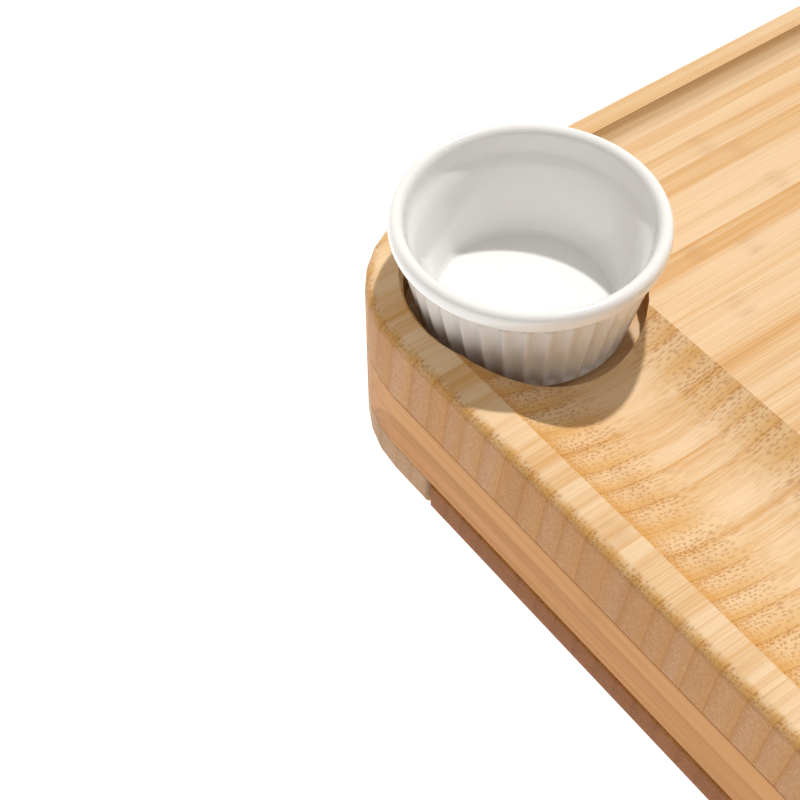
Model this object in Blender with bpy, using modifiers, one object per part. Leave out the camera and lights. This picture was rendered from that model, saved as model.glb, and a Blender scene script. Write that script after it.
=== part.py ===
"""Bamboo chip and dip server: a three-ply serving board with two troughs, four round
pockets that hold fluted ramekins, and two shallow cutlery drawers in the bottom ply.

Units are metres and +Z is up. X runs along the board's length, Y across it. The origin
is at the bottom centre, where the feet meet the table.
"""

import math

import bmesh
import bpy
from mathutils import Matrix, Vector

# ---------------------------------------------------------------- driving dimensions
BOARD_LENGTH = 0.406
BOARD_WIDTH = 0.330
CORNER_RADIUS = 0.034           # plan radius of the four corners
TOP_THICKNESS = 0.0193          # top ply, grain along X
CORE_THICKNESS = 0.0178         # middle ply, grain along Y
BASE_THICKNESS = 0.0105         # bottom ply, grain along X
GLUE_GAP = 0.0003               # gap kept between pieces that touch
TOP_EDGE_RADIUS = 0.0028        # rounding of the top ply's outer edge
BOTTOM_EDGE_RADIUS = 0.003      # rounding of the bottom ply's outer edge

# Top ply: platform between the troughs
SIDE_RIM_WIDTH = 0.0073         # raised rim along the long sides
END_RIM_WIDTH = 0.0090          # raised rim along the short ends
PLATFORM_DEPTH = 0.0045         # platform below the rim's top
COVE_RADIUS = 0.0060            # where the platform meets the long rims
TROUGH_WIDTH = 0.0482           # end rim's inner edge to the platform's edge
TROUGH_DEPTH = 0.0087           # trough's lowest line below the rim's top
INNER_CORNER_RADIUS = 0.0250    # plan radius of the rim's inner corners, outside the pockets
CORNER_LEDGE_DEPTH = 0.0020     # ledge between those corners and the pockets, below the rim's top

# Ramekins
RAMEKIN_RADIUS = 0.0324         # over the rim band
RAMEKIN_HEIGHT = 0.0320
RAMEKIN_FLOOR = 0.0051          # thickness of the ramekin's floor
RAMEKIN_BAND = 0.0047           # height of the plain band under the rim
RAMEKIN_WALL = 0.0032
BAND_STEP = 0.0018              # how far the band stands out over the fluted body
BAND_LEAN = 0.0003              # how much narrower the band is at its lower edge
BAND_UNDERCUT = 0.0006          # height of the step from the band to the body
BODY_TAPER = 0.0058             # how much narrower the body is at its foot
RIM_INNER_SLOPE = 0.0009        # height of the rim's rounding towards the inside
RIM_OUTER_SLOPE = 0.0012        # height of the rim's rounding towards the outside
MOUTH_LEAN = 0.0004             # how far the mouth's wall stands out from the rim's inner edge
LEDGE_WIDTH = 0.0010            # inner ledge under the rim
LEDGE_DROP = 0.0012             # ledge below the band's lower edge
LEDGE_SLOPE = 0.0008            # height over which the ledge turns down into the wall
FLOOR_COVE = 0.0018             # where the inner floor turns up into the wall
FOOT_WALL = 0.0020              # wall at the foot
FOOT_RISE = 0.0014              # height of the bevel round the ramekin's foot
FOOT_BEVEL = 0.0012             # width of that bevel
FLUTE_COUNT = 36
FLUTE_DEPTH = 0.0009

# Pockets for the ramekins
POCKET_RADIUS = 0.029
POCKET_END_INSET = 0.0374       # pocket centre to the board's end face
POCKET_SIDE_INSET = 0.0361      # pocket centre to the board's side face
RAMEKIN_STANDS_PROUD = 0.0195   # ramekin rim above the board's rim
POCKET_LIP = 0.0008             # chamfer round the pocket's mouth

# Core boards
CORE_BOARDS = 5

# Base rails, bridge and drawers
RAIL_WIDTH = 0.0465
BRIDGE_WIDTH = 0.024
DRAWER_SIDE_GAP = 0.0012
DRAWER_TOP_GAP = 0.0005
DRAWER_BACK_GAP = 0.0006
DRAWER_EDGE_RADIUS = 0.0012
SLOT_COUNT = 4
SLOT_LENGTH = 0.205
SLOT_WIDTH = 0.030
SLOT_PITCH = 0.040
SLOT_DEPTH = 0.0055
SLOT_FRONT_MARGIN = 0.022       # drawer front to the first slot's near edge
FINGER_LENGTH = 0.070           # finger groove under each drawer front
FINGER_WIDTH = 0.012
FINGER_DEPTH = 0.0040
FINGER_SETBACK = 0.007          # end face to the finger groove's near edge

# Drawer runners: loose tongues glued into the rails, on which the drawers' grooves slide
RUNNER_THICKNESS = 0.0030
RUNNER_SETBACK = 0.014          # end face to the runner's near end
RUNNER_IN_RAIL = 0.0042
RUNNER_IN_DRAWER = 0.0040
RUNNER_HEIGHT = 0.0050          # runner's middle above the base's underside
GROOVE_CLEARANCE = 0.0004       # drawer groove over the runner, above and below
GROOVE_END_CLEARANCE = 0.0008   # drawer groove past the runner's tongue and its near end

# Catch magnets
MAGNET_RADIUS = 0.0030
MAGNET_LENGTH = 0.0020
MAGNET_SPREAD = 0.080           # each magnet's distance from the centre line

# Feet
FOOT_RADIUS = 0.0075
FOOT_HEIGHT = 0.0022
FOOT_EDGE = 0.0008
FOOT_INSET = 0.030              # foot centre to the board's side and end faces

# Smoothness of round shapes
CORNER_STEPS = 8
EDGE_STEPS = 6
COVE_STEPS = 7
TROUGH_STEPS = 18
POCKET_STEPS = 40
FOOT_STEPS = 28
MAGNET_STEPS = 20
SHARP_ANGLE = 20.0              # degrees between faces over which an edge stays sharp
SHARP_FLUTE_ANGLE = 25.0
ROUND_END = 0.999               # share of half a slot's width that its end radius takes

# ---------------------------------------------------------------- levels
BASE_BOTTOM = FOOT_HEIGHT + GLUE_GAP
BASE_TOP = BASE_BOTTOM + BASE_THICKNESS
CORE_BOTTOM = BASE_TOP + GLUE_GAP
CORE_TOP = CORE_BOTTOM + CORE_THICKNESS
PANEL_BOTTOM = CORE_TOP + GLUE_GAP
PANEL_TOP = PANEL_BOTTOM + TOP_THICKNESS
POCKET_DEPTH = RAMEKIN_HEIGHT - RAMEKIN_STANDS_PROUD + GLUE_GAP
POCKET_FLOOR = PANEL_TOP - POCKET_DEPTH
CUT_OVER = 0.005                # how far a cutter reaches past what it cuts
MERGE_DISTANCE = 0.00001        # points closer than this become one
SAME_PLACE = 0.00002            # points this close to a plane lie in it
FLAT_ANGLE = 0.001              # radians between faces under which they become one

HALF_LENGTH = BOARD_LENGTH / 2
HALF_WIDTH = BOARD_WIDTH / 2
RAIL_INNER = HALF_WIDTH - RAIL_WIDTH
DRAWER_HALF_WIDTH = RAIL_INNER - DRAWER_SIDE_GAP
DRAWER_BACK = BRIDGE_WIDTH / 2 + DRAWER_BACK_GAP
RUNNER_Z = BASE_BOTTOM + RUNNER_HEIGHT

SIDES = {"left": -1, "right": 1}
ROWS = {"front": -1, "back": 1}


# ---------------------------------------------------------------- scene helpers
def clear_scene():
    """Remove every object of the scene."""
    for item in list(bpy.data.objects):
        bpy.data.objects.remove(item, do_unlink=True)


def new_collection(name):
    """Make a collection and link it to the scene."""
    collection = bpy.data.collections.new(name)
    bpy.context.scene.collection.children.link(collection)
    return collection


def material(name, colour, roughness, metallic=0.0):
    """Make a Principled material."""
    result = bpy.data.materials.new(name)
    result.use_nodes = True
    shader = result.node_tree.nodes["Principled BSDF"]
    shader.inputs["Base Color"].default_value = (*colour, 1.0)
    shader.inputs["Roughness"].default_value = roughness
    shader.inputs["Metallic"].default_value = metallic
    return result


def object_from_bmesh(name, bm, collection):
    """Turn a bmesh into a linked object."""
    mesh = bpy.data.meshes.new(name)
    bm.to_mesh(mesh)
    bm.free()
    item = bpy.data.objects.new(name, mesh)
    collection.objects.link(item)
    return item


def smooth(item, angle=SHARP_ANGLE):
    """Shade smooth, with edges kept sharp over the angle in degrees."""
    item.data.shade_smooth()
    item.data.set_sharp_from_angle(angle=math.radians(angle))


def as_cutter(item):
    """Mark an object as a cutter, which is never shown."""
    item.hide_render = True
    item.display_type = 'WIRE'
    return item


def cut(item, cutter, name):
    """Take the cutter out of the item."""
    boolean = item.modifiers.new(name, 'BOOLEAN')
    boolean.operation = 'DIFFERENCE'
    boolean.solver = 'EXACT'
    boolean.object = as_cutter(cutter)


# ---------------------------------------------------------------- shape helpers
def arc(centre, radius, start, end, steps):
    """Points along an arc, angles in degrees, both ends included."""
    points = []
    for step in range(steps + 1):
        angle = math.radians(start + (end - start) * step / steps)
        points.append((centre[0] + radius * math.cos(angle), centre[1] + radius * math.sin(angle)))
    return points


def rectangle(low_x, high_x, low_y, high_y, radii=(0, 0, 0, 0)):
    """Outline of a rectangle whose corners have their own radii.

    The radii are those of the corners low-low, high-low, high-high and low-high.
    """
    corners = ((low_x, low_y, 1, 1, 180), (high_x, low_y, -1, 1, 270),
               (high_x, high_y, -1, -1, 0), (low_x, high_y, 1, -1, 90))
    points = []
    for (x, y, side_x, side_y, start), radius in zip(corners, radii):
        if radius > 0:
            centre = (x + side_x * radius, y + side_y * radius)
            points += arc(centre, radius, start, start + 90, CORNER_STEPS)
        else:
            points.append((x, y))
    return points


def prism(name, points, low, high, collection):
    """Extrude a flat outline from one height to another, as a clean mesh."""
    curve = bpy.data.curves.new(name + "_outline", 'CURVE')
    curve.dimensions = '2D'
    curve.fill_mode = 'BOTH'
    curve.extrude = (high - low) / 2
    spline = curve.splines.new('POLY')
    spline.points.add(len(points) - 1)
    for target, (x, y) in zip(spline.points, points):
        target.co = (x, y, 0.0, 1.0)
    spline.use_cyclic_u = True
    outline = bpy.data.objects.new(name + "_outline", curve)
    outline.location.z = (low + high) / 2
    collection.objects.link(outline)
    bpy.context.view_layer.update()
    evaluated = outline.evaluated_get(bpy.context.evaluated_depsgraph_get())
    mesh = bpy.data.meshes.new_from_object(evaluated)
    mesh.name = name
    bm = bmesh.new()
    bm.from_mesh(mesh)
    bmesh.ops.remove_doubles(bm, verts=bm.verts, dist=MERGE_DISTANCE)
    bmesh.ops.dissolve_limit(bm, angle_limit=FLAT_ANGLE, verts=bm.verts, edges=bm.edges)
    bmesh.ops.recalc_face_normals(bm, faces=bm.faces)
    bm.to_mesh(mesh)
    bm.free()
    mesh.transform(outline.matrix_world)
    bpy.data.objects.remove(outline, do_unlink=True)
    item = bpy.data.objects.new(name, mesh)
    collection.objects.link(item)
    return item


def box(name, low, high, collection):
    """An axis-aligned box between two corners."""
    bm = bmesh.new()
    bmesh.ops.create_cube(bm, size=1.0)
    size = Vector(high) - Vector(low)
    middle = (Vector(high) + Vector(low)) / 2
    bmesh.ops.scale(bm, vec=size, verts=bm.verts)
    bmesh.ops.translate(bm, vec=middle, verts=bm.verts)
    return object_from_bmesh(name, bm, collection)


def rod(name, centre, radius, length, collection):
    """A cylinder along X, centred on a point."""
    bm = bmesh.new()
    bmesh.ops.create_cone(bm, cap_ends=True, segments=MAGNET_STEPS, radius1=radius, radius2=radius,
                          depth=length)
    turn = Matrix.Rotation(math.pi / 2, 4, 'Y')
    bmesh.ops.transform(bm, matrix=Matrix.Translation(centre) @ turn, verts=bm.verts)
    return object_from_bmesh(name, bm, collection)


def turned(name, profile, location, collection, steps):
    """Turn a profile of (radius, height) points about Z with a Screw modifier."""
    bm = bmesh.new()
    points = [bm.verts.new((radius, 0.0, height)) for radius, height in profile]
    for first, second in zip(points, points[1:]):
        bm.edges.new((first, second))
    item = object_from_bmesh(name, bm, collection)
    item.location = location
    screw = item.modifiers.new("turn", 'SCREW')
    screw.steps = steps
    screw.render_steps = steps
    screw.use_merge_vertices = True
    screw.merge_threshold = MERGE_DISTANCE
    return item


def evaluated_copy(item, collection):
    """Replace an object by a plain mesh of its evaluated shape, in the same place."""
    bpy.context.view_layer.update()
    evaluated = item.evaluated_get(bpy.context.evaluated_depsgraph_get())
    mesh = bpy.data.meshes.new_from_object(evaluated)
    name, matrix = item.name, item.matrix_world.copy()
    bpy.data.objects.remove(item, do_unlink=True)
    mesh.name = name
    result = bpy.data.objects.new(name, mesh)
    result.matrix_world = matrix
    collection.objects.link(result)
    return result


def round_edges(item, radius, weights, steps=EDGE_STEPS):
    """Round chosen edges with a Bevel modifier.

    weights is a function of an edge's two end points. It gives the share of the radius
    that the edge gets, or 0 to leave it sharp.
    """
    mesh = item.data
    layer = mesh.attributes.new("bevel_weight_edge", 'FLOAT', 'EDGE')
    for edge in mesh.edges:
        first, second = (mesh.vertices[index].co for index in edge.vertices)
        layer.data[edge.index].value = weights(first, second)
    bevel = item.modifiers.new("round", 'BEVEL')
    bevel.limit_method = 'WEIGHT'
    bevel.width = radius
    bevel.segments = steps
    bevel.use_clamp_overlap = True


def at(first, second, axis, value):
    """Whether both points lie at a value along an axis (0, 1 or 2)."""
    return abs(first[axis] - value) < SAME_PLACE and abs(second[axis] - value) < SAME_PLACE


# ---------------------------------------------------------------- top ply
def trough_circle():
    """Circle of the trough's section, from the end rim's inner edge.

    It passes through the rim's edge at (0, 0) and the platform's edge at
    (TROUGH_WIDTH, -PLATFORM_DEPTH), and its lowest point is at -TROUGH_DEPTH.
    Returns the centre's distance from the rim's edge, its height over the rim and the radius.
    """
    share = PLATFORM_DEPTH / TROUGH_DEPTH
    width_squared = TROUGH_WIDTH ** 2
    last = width_squared - PLATFORM_DEPTH * (TROUGH_DEPTH - PLATFORM_DEPTH)
    across = (TROUGH_WIDTH - math.sqrt(width_squared - share * last)) / share
    height = (across ** 2 - TROUGH_DEPTH ** 2) / (2 * TROUGH_DEPTH)
    return across, height, height + TROUGH_DEPTH


def trough_cutter(name, side, cutters):
    """A bar of round section along Y, which cuts the trough at one end of the board."""
    across, height, radius = trough_circle()
    edge = math.degrees(math.atan2(-height, -across))
    far = math.degrees(math.atan2(-PLATFORM_DEPTH - height, TROUGH_WIDTH - across))
    section = arc((across, height), radius, edge, far, TROUGH_STEPS)
    section += [(TROUGH_WIDTH, CUT_OVER), (0.0, CUT_OVER)]
    half = HALF_WIDTH - POCKET_SIDE_INSET
    item = prism(name, section, -half, half, cutters)
    start = side * (HALF_LENGTH - END_RIM_WIDTH)
    # The section's X runs inward from the end rim, its Y is up and the extrusion is along Y.
    frame = Matrix(((-side, 0, 0, start), (0, 0, side, 0), (0, 1, 0, PANEL_TOP), (0, 0, 0, 1)))
    item.data.transform(frame)
    return item


def platform_cutter(cutters):
    """A flat bar along X with rounded lower edges, which sinks the platform."""
    half = HALF_WIDTH - SIDE_RIM_WIDTH
    height = COVE_RADIUS - PLATFORM_DEPTH
    rise = math.degrees(math.asin(height / COVE_RADIUS))
    middle = half - COVE_RADIUS * math.cos(math.radians(rise))
    section = [(-half, CUT_OVER)]
    section += arc((-middle, height), COVE_RADIUS, 180 + rise, 270, COVE_STEPS)
    section += arc((middle, height), COVE_RADIUS, 270, 360 - rise, COVE_STEPS)
    section += [(half, CUT_OVER)]
    reach = HALF_LENGTH - END_RIM_WIDTH - TROUGH_WIDTH / 2
    item = prism("platform_cutter", section, -reach, reach, cutters)
    item.data.transform(Matrix(((0, 0, 1, 0), (1, 0, 0, 0), (0, 1, 0, PANEL_TOP), (0, 0, 0, 1))))
    return item


def pocket_cutter(name, x, y, cutters):
    """A turned plug with a chamfered mouth, which cuts one ramekin pocket."""
    profile = [(0.0, PANEL_TOP + CUT_OVER), (POCKET_RADIUS + POCKET_LIP, PANEL_TOP + CUT_OVER),
               (POCKET_RADIUS + POCKET_LIP, PANEL_TOP), (POCKET_RADIUS, PANEL_TOP - POCKET_LIP),
               (POCKET_RADIUS, POCKET_FLOOR), (0.0, POCKET_FLOOR)]
    return turned(name, profile, (x, y, 0.0), cutters, POCKET_STEPS)


def ledge_cutter(name, x, y, cutters):
    """A disc that cuts the rim's inner corner down to the ledge outside one pocket."""
    profile = [(0.0, PANEL_TOP + CUT_OVER), (INNER_CORNER_RADIUS, PANEL_TOP + CUT_OVER),
               (INNER_CORNER_RADIUS, PANEL_TOP - CORNER_LEDGE_DEPTH),
               (0.0, PANEL_TOP - CORNER_LEDGE_DEPTH)]
    return turned(name, profile, (x, y, 0.0), cutters, POCKET_STEPS)


def top_panel(parts, cutters, finish):
    """The top ply, with its rim, platform, two troughs and four pockets."""
    radii = (CORNER_RADIUS,) * 4
    outline = rectangle(-HALF_LENGTH, HALF_LENGTH, -HALF_WIDTH, HALF_WIDTH, radii)
    panel = prism("top_panel", outline, PANEL_BOTTOM, PANEL_TOP, parts)
    round_edges(panel, TOP_EDGE_RADIUS, lambda a, b: 1.0 if at(a, b, 2, PANEL_TOP) else 0.0)
    cut(panel, platform_cutter(cutters), "platform")
    for end, side in SIDES.items():
        cut(panel, trough_cutter("trough_cutter_" + end, side, cutters), "trough_" + end)
        for row, turn in ROWS.items():
            name = "pocket_cutter_" + end + "_" + row
            x = side * (HALF_LENGTH - POCKET_END_INSET)
            y = turn * (HALF_WIDTH - POCKET_SIDE_INSET)
            cut(panel, pocket_cutter(name, x, y, cutters), "pocket_" + end + "_" + row)
            name = "ledge_cutter_" + end + "_" + row
            x = side * (HALF_LENGTH - END_RIM_WIDTH - INNER_CORNER_RADIUS)
            y = turn * (HALF_WIDTH - SIDE_RIM_WIDTH - INNER_CORNER_RADIUS)
            cut(panel, ledge_cutter(name, x, y, cutters), "ledge_" + end + "_" + row)
    smooth(panel)
    panel.data.materials.append(finish)
    return panel


# ---------------------------------------------------------------- core and base
def core_boards(parts, finish):
    """The middle ply: boards laid side by side with their grain along Y."""
    pitch = BOARD_LENGTH / CORE_BOARDS
    for number in range(CORE_BOARDS):
        low = -HALF_LENGTH + number * pitch + (GLUE_GAP / 2 if number else 0.0)
        high = -HALF_LENGTH + (number + 1) * pitch - (GLUE_GAP / 2 if number < CORE_BOARDS - 1 else 0)
        first = CORNER_RADIUS if number == 0 else 0
        last = CORNER_RADIUS if number == CORE_BOARDS - 1 else 0
        outline = rectangle(low, high, -HALF_WIDTH, HALF_WIDTH, (first, last, last, first))
        board = prism("core_board_%d" % (number + 1), outline, CORE_BOTTOM, CORE_TOP, parts)
        smooth(board)
        board.data.materials.append(finish)


def runner_span(side):
    """Low and high X of the runners on one side of the bridge."""
    near, far = side * (HALF_LENGTH - RUNNER_SETBACK), side * (BRIDGE_WIDTH / 2 + GLUE_GAP)
    return min(near, far), max(near, far)


def base_rail(row, turn, parts, cutters, finish, runner_finish):
    """One long rail of the bottom ply, with the two runners let into its inner face."""
    outer = turn * HALF_WIDTH
    inner = turn * RAIL_INNER
    low, high = min(outer, inner), max(outer, inner)
    front = CORNER_RADIUS if turn < 0 else 0
    back = CORNER_RADIUS if turn > 0 else 0
    outline = rectangle(-HALF_LENGTH, HALF_LENGTH, low, high, (front, front, back, back))
    rail = prism("base_rail_" + row, outline, BASE_BOTTOM, BASE_TOP, parts)

    def outside(a, b):
        inside = at(a, b, 1, inner)
        return 1.0 if at(a, b, 2, BASE_BOTTOM) and not inside else 0.0

    round_edges(rail, BOTTOM_EDGE_RADIUS, outside)
    half = RUNNER_THICKNESS / 2
    for end, side in SIDES.items():
        low_x, high_x = runner_span(side)
        buried, tip = inner + turn * RUNNER_IN_RAIL, inner - turn * (DRAWER_SIDE_GAP + RUNNER_IN_DRAWER)
        runner = box("runner_%s_%s" % (end, row), (low_x, min(buried, tip), RUNNER_Z - half),
                     (high_x, max(buried, tip), RUNNER_Z + half), parts)
        runner.data.materials.append(runner_finish)
        deep, open_side = buried + turn * GLUE_GAP, inner - turn * CUT_OVER
        seat = box("runner_seat_%s_%s" % (end, row),
                   (low_x - GLUE_GAP, min(deep, open_side), RUNNER_Z - half - GLUE_GAP),
                   (high_x + GLUE_GAP, max(deep, open_side), RUNNER_Z + half + GLUE_GAP), cutters)
        cut(rail, seat, "seat_" + end)
    smooth(rail)
    rail.data.materials.append(finish)


def magnet_places(face, inward):
    """Centres of the two magnets let into a face at one X, inward being -1 or 1."""
    x = face + inward * (GLUE_GAP + MAGNET_LENGTH / 2)
    return [(x, turn * MAGNET_SPREAD, RUNNER_Z) for turn in ROWS.values()]


def magnet_seat(name, place, face, cutters):
    """A bore from the face to the magnet's far end, with the seat's clearance."""
    far = place[0] + (place[0] - face)
    outside = face - math.copysign(CUT_OVER, place[0] - face)
    length = abs(far - outside) + GLUE_GAP
    middle = outside + math.copysign(length / 2, place[0] - face)
    return rod(name, (middle, place[1], place[2]), MAGNET_RADIUS + GLUE_GAP, length, cutters)


def bridge(parts, cutters, wood, steel):
    """The cross piece between the two drawers, with the catch magnets in its faces."""
    half = BRIDGE_WIDTH / 2
    reach = RAIL_INNER - GLUE_GAP
    item = box("base_bridge", (-half, -reach, BASE_BOTTOM), (half, reach, BASE_TOP), parts)
    for end, side in SIDES.items():
        places = magnet_places(side * half, -side)
        for (row, _), place in zip(ROWS.items(), places):
            seat = magnet_seat("bridge_seat_%s_%s" % (end, row), place, side * half, cutters)
            cut(item, seat, "seat_%s_%s" % (end, row))
            disc = rod("bridge_magnet_%s_%s" % (end, row), place, MAGNET_RADIUS, MAGNET_LENGTH, parts)
            smooth(disc)
            disc.data.materials.append(steel)
    item.data.materials.append(wood)


def feet(parts, rubber):
    """Four round pads under the base rails."""
    profile = [(0.0, FOOT_HEIGHT), (FOOT_RADIUS, FOOT_HEIGHT), (FOOT_RADIUS, FOOT_EDGE),
               (FOOT_RADIUS - FOOT_EDGE, 0.0), (0.0, 0.0)]
    for end, side in SIDES.items():
        for row, turn in ROWS.items():
            place = (side * (HALF_LENGTH - FOOT_INSET), turn * (HALF_WIDTH - FOOT_INSET), 0.0)
            pad = turned("foot_%s_%s" % (end, row), profile, place, parts, FOOT_STEPS)
            pad.modifiers["turn"].use_smooth_shade = True
            pad.data.materials.append(rubber)


# ---------------------------------------------------------------- drawers
def slot_cutter(name, middle, drawer_top, cutters):
    """A round-ended bar, which routs one cutlery slot across the drawer."""
    radius = SLOT_WIDTH / 2
    outline = rectangle(middle - radius, middle + radius, -SLOT_LENGTH / 2, SLOT_LENGTH / 2,
                        (radius * ROUND_END,) * 4)
    return prism(name, outline, drawer_top - SLOT_DEPTH, drawer_top + CUT_OVER, cutters)


def drawer(end, side, parts, cutters, wood, steel):
    """One drawer: a routed slab with a stopped groove in each side, and two catch magnets.

    The magnets are parented to the slab, which slides along X.
    """
    name = "drawer_" + end
    drawer_top = BASE_TOP - DRAWER_TOP_GAP
    front, back = side * HALF_LENGTH, side * DRAWER_BACK
    low, high = min(front, back), max(front, back)
    tray = box(name + "_tray", (low, -DRAWER_HALF_WIDTH, BASE_BOTTOM),
               (high, DRAWER_HALF_WIDTH, drawer_top), parts)

    def front_edges(a, b):
        if not at(a, b, 0, front):
            return 0.0
        return 1.0 if at(a, b, 2, BASE_BOTTOM) else DRAWER_EDGE_RADIUS / BOTTOM_EDGE_RADIUS

    round_edges(tray, BOTTOM_EDGE_RADIUS, front_edges)
    for number in range(SLOT_COUNT):
        depth = SLOT_FRONT_MARGIN + SLOT_WIDTH / 2 + number * SLOT_PITCH
        label = "%s_slot_%d" % (name, number + 1)
        cut(tray, slot_cutter(label, front - side * depth, drawer_top, cutters), label)

    radius = FINGER_WIDTH / 2
    finger_x = front - side * (FINGER_SETBACK + radius)
    finger = rectangle(finger_x - radius, finger_x + radius, -FINGER_LENGTH / 2, FINGER_LENGTH / 2,
                       (radius * ROUND_END,) * 4)
    finger_groove = prism(name + "_finger", finger, BASE_BOTTOM - CUT_OVER,
                          BASE_BOTTOM + FINGER_DEPTH, cutters)
    cut(tray, finger_groove, "finger")

    half = RUNNER_THICKNESS / 2 + GROOVE_CLEARANCE
    near = front - side * (RUNNER_SETBACK - GROOVE_END_CLEARANCE)
    far = back - side * CUT_OVER
    for row, turn in ROWS.items():
        face = turn * DRAWER_HALF_WIDTH
        deep = face - turn * (RUNNER_IN_DRAWER + GROOVE_END_CLEARANCE)
        outside = face + turn * CUT_OVER
        groove = box("%s_groove_%s" % (name, row),
                     (min(near, far), min(deep, outside), RUNNER_Z - half),
                     (max(near, far), max(deep, outside), RUNNER_Z + half), cutters)
        cut(tray, groove, "groove_" + row)
    for (row, _), place in zip(ROWS.items(), magnet_places(back, side)):
        seat = magnet_seat("%s_magnet_seat_%s" % (name, row), place, back, cutters)
        cut(tray, seat, "magnet_" + row)
        disc = rod("%s_magnet_%s" % (name, row), place, MAGNET_RADIUS, MAGNET_LENGTH, parts)
        smooth(disc)
        disc.data.materials.append(steel)
        disc.parent = tray
    smooth(tray)
    tray.data.materials.append(wood)


# ---------------------------------------------------------------- ramekins
def ramekin_profile():
    """Outline of a ramekin from the inner floor's centre, over the rim, to the foot's centre."""
    band_low = RAMEKIN_HEIGHT - RAMEKIN_BAND
    body_top = RAMEKIN_RADIUS - BAND_STEP
    body_foot = body_top - BODY_TAPER
    inner_top = RAMEKIN_RADIUS - RAMEKIN_WALL
    ledge = band_low - LEDGE_DROP
    inner_foot = body_foot - FOOT_WALL
    return [(0.0, RAMEKIN_FLOOR),
            (inner_foot - FLOOR_COVE, RAMEKIN_FLOOR),
            (inner_foot, RAMEKIN_FLOOR + FLOOR_COVE),
            (body_top - RAMEKIN_WALL, ledge - LEDGE_SLOPE),
            (inner_top - LEDGE_WIDTH, ledge),
            (inner_top - MOUTH_LEAN, RAMEKIN_HEIGHT - RIM_INNER_SLOPE),
            ((inner_top + RAMEKIN_RADIUS) / 2, RAMEKIN_HEIGHT),
            (RAMEKIN_RADIUS, RAMEKIN_HEIGHT - RIM_OUTER_SLOPE),
            (RAMEKIN_RADIUS - BAND_LEAN, band_low),
            (body_top, band_low - BAND_UNDERCUT),
            (body_foot, FOOT_RISE),
            (body_foot - FOOT_BEVEL, 0.0),
            (0.0, 0.0)]


def flute(item):
    """Press the flutes into the body: every second line of points moves inward."""
    body_top = RAMEKIN_HEIGHT - RAMEKIN_BAND - BAND_UNDERCUT
    body_foot_radius = RAMEKIN_RADIUS - BAND_STEP - BODY_TAPER
    for vertex in item.data.vertices:
        radius = math.hypot(vertex.co.x, vertex.co.y)
        on_line = min(abs(vertex.co.z - body_top), abs(vertex.co.z - FOOT_RISE)) < SAME_PLACE
        if not on_line or radius < body_foot_radius - SAME_PLACE:
            continue
        line = round(math.atan2(vertex.co.y, vertex.co.x) / (math.pi / FLUTE_COUNT))
        if line % 2:
            vertex.co.x *= (radius - FLUTE_DEPTH) / radius
            vertex.co.y *= (radius - FLUTE_DEPTH) / radius


def ramekins(parts, finish):
    """Four fluted ramekins, one standing in each pocket."""
    height = POCKET_FLOOR + GLUE_GAP
    for end, side in SIDES.items():
        for row, turn in ROWS.items():
            place = (side * (HALF_LENGTH - POCKET_END_INSET), turn * (HALF_WIDTH - POCKET_SIDE_INSET),
                     height)
            pot = turned("ramekin_%s_%s" % (end, row), ramekin_profile(), place, parts,
                         2 * FLUTE_COUNT)
            pot = evaluated_copy(pot, parts)
            flute(pot)
            smooth(pot, SHARP_FLUTE_ANGLE)
            pot.data.materials.append(finish)


# ---------------------------------------------------------------- the whole object
def build():
    """Build every piece of the server."""
    clear_scene()
    parts = new_collection("chip_and_dip_server")
    cutters = new_collection("cutters")
    panel_bamboo = material("bamboo_panel", (0.80, 0.58, 0.34), 0.45)
    core_bamboo = material("bamboo_core", (0.62, 0.37, 0.18), 0.50)
    base_bamboo = material("bamboo_base", (0.70, 0.48, 0.30), 0.50)
    drawer_bamboo = material("bamboo_drawer", (0.48, 0.26, 0.12), 0.50)
    runner_bamboo = material("bamboo_runner", (0.75, 0.55, 0.33), 0.50)
    ceramic = material("glazed_ceramic", (0.90, 0.90, 0.89), 0.12)
    rubber = material("foot_rubber", (0.08, 0.08, 0.08), 0.80)
    steel = material("magnet_steel", (0.62, 0.62, 0.64), 0.30, 1.0)

    top_panel(parts, cutters, panel_bamboo)
    core_boards(parts, core_bamboo)
    for row, turn in ROWS.items():
        base_rail(row, turn, parts, cutters, base_bamboo, runner_bamboo)
    bridge(parts, cutters, base_bamboo, steel)
    feet(parts, rubber)
    for end, side in SIDES.items():
        drawer(end, side, parts, cutters, drawer_bamboo, steel)
    ramekins(parts, ceramic)


build()
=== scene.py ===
"""Looks of a bamboo chip and dip server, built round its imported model.

The board is three glued plies of bamboo with two troughs, a sunk platform, four pockets
with fluted ramekins, and two cutlery drawers in the bottom ply. Everything is in metres,
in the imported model's frame: X runs along the board, Y across it and +Z is up.
"""

from __future__ import annotations

import logging
import math
from dataclasses import dataclass
from enum import Enum
from typing import Optional, Sequence, Union

import bmesh
import bpy
from mathutils import Matrix, Vector


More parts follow.
